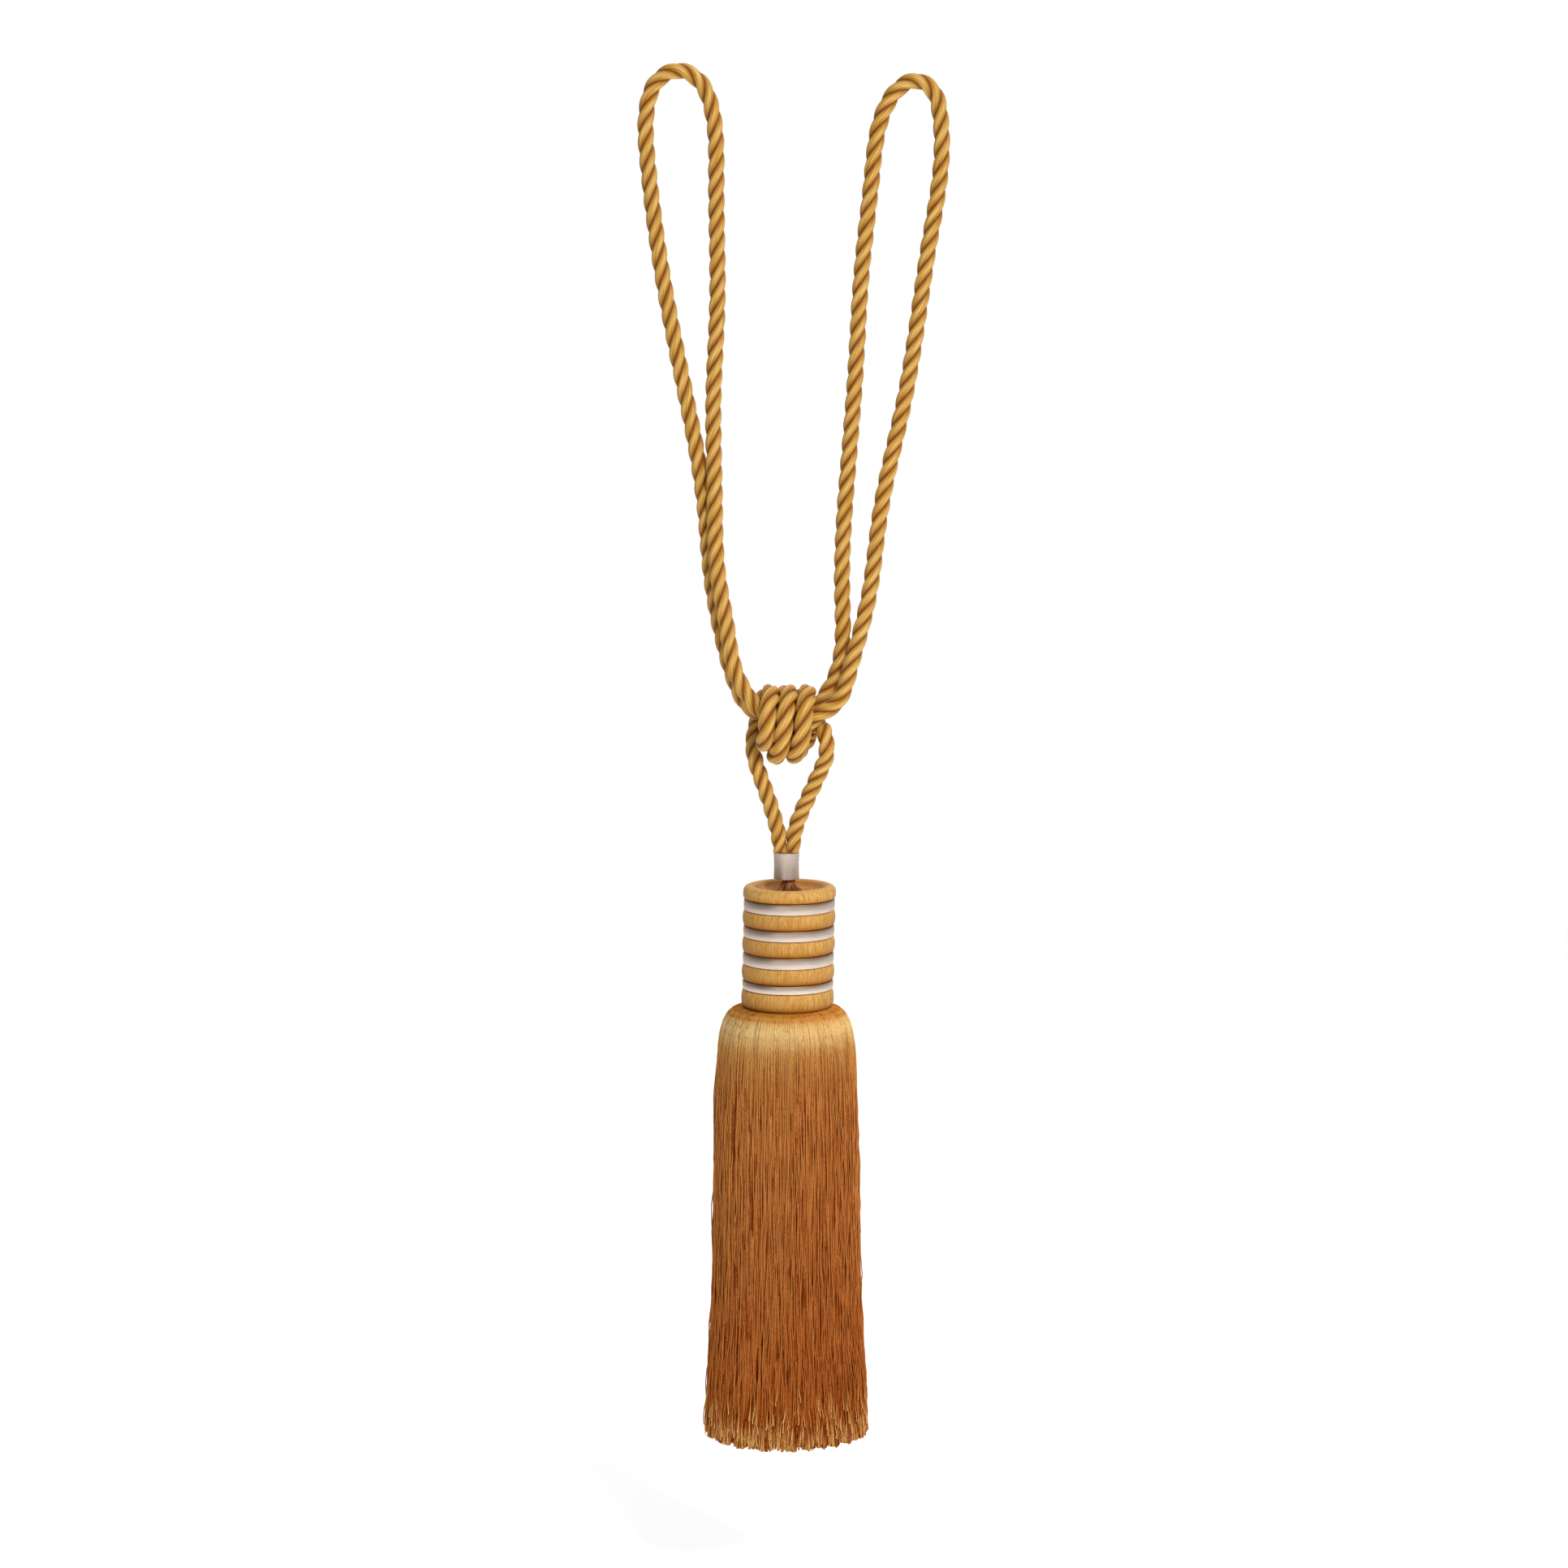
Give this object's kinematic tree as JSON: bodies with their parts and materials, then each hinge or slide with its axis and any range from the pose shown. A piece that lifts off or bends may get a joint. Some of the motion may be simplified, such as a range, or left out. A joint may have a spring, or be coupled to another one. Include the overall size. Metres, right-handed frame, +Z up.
{
  "type": "curtain tieback tassel",
  "caption": "Curtain tieback: laid rope in two long loops, drawn together by a wound knot, with a banded yarn-covered head and a long strand skirt hanging below.",
  "frame": {"origin": "On the tassel's plumb line, level with the outside of the crown of the higher rope loop, where the tieback hangs", "axes": "+Z up along the hanging tassel, +X to the right seen from the front, +Y away from the viewer"},
  "size_m": [0.1858, 0.0996, 0.8367],
  "materials": {
    "gold_rope": "satin laid rope",
    "gold_yarn": "satin yarn wound lengthwise over a turned mould",
    "skirt_yarn": "fine soft strands",
    "silver_satin": "close satin thread winding"
  },
  "bodies": {
    "root": {"loop_cord": "gold_rope", "hanger_cord": "gold_rope", "collar": "silver_satin", "head": "gold_yarn", "band_1": "silver_satin", "band_2": "silver_satin", "band_3": "silver_satin", "band_4": "silver_satin", "skirt": "skirt_yarn"}
  },
  "joints": []
}
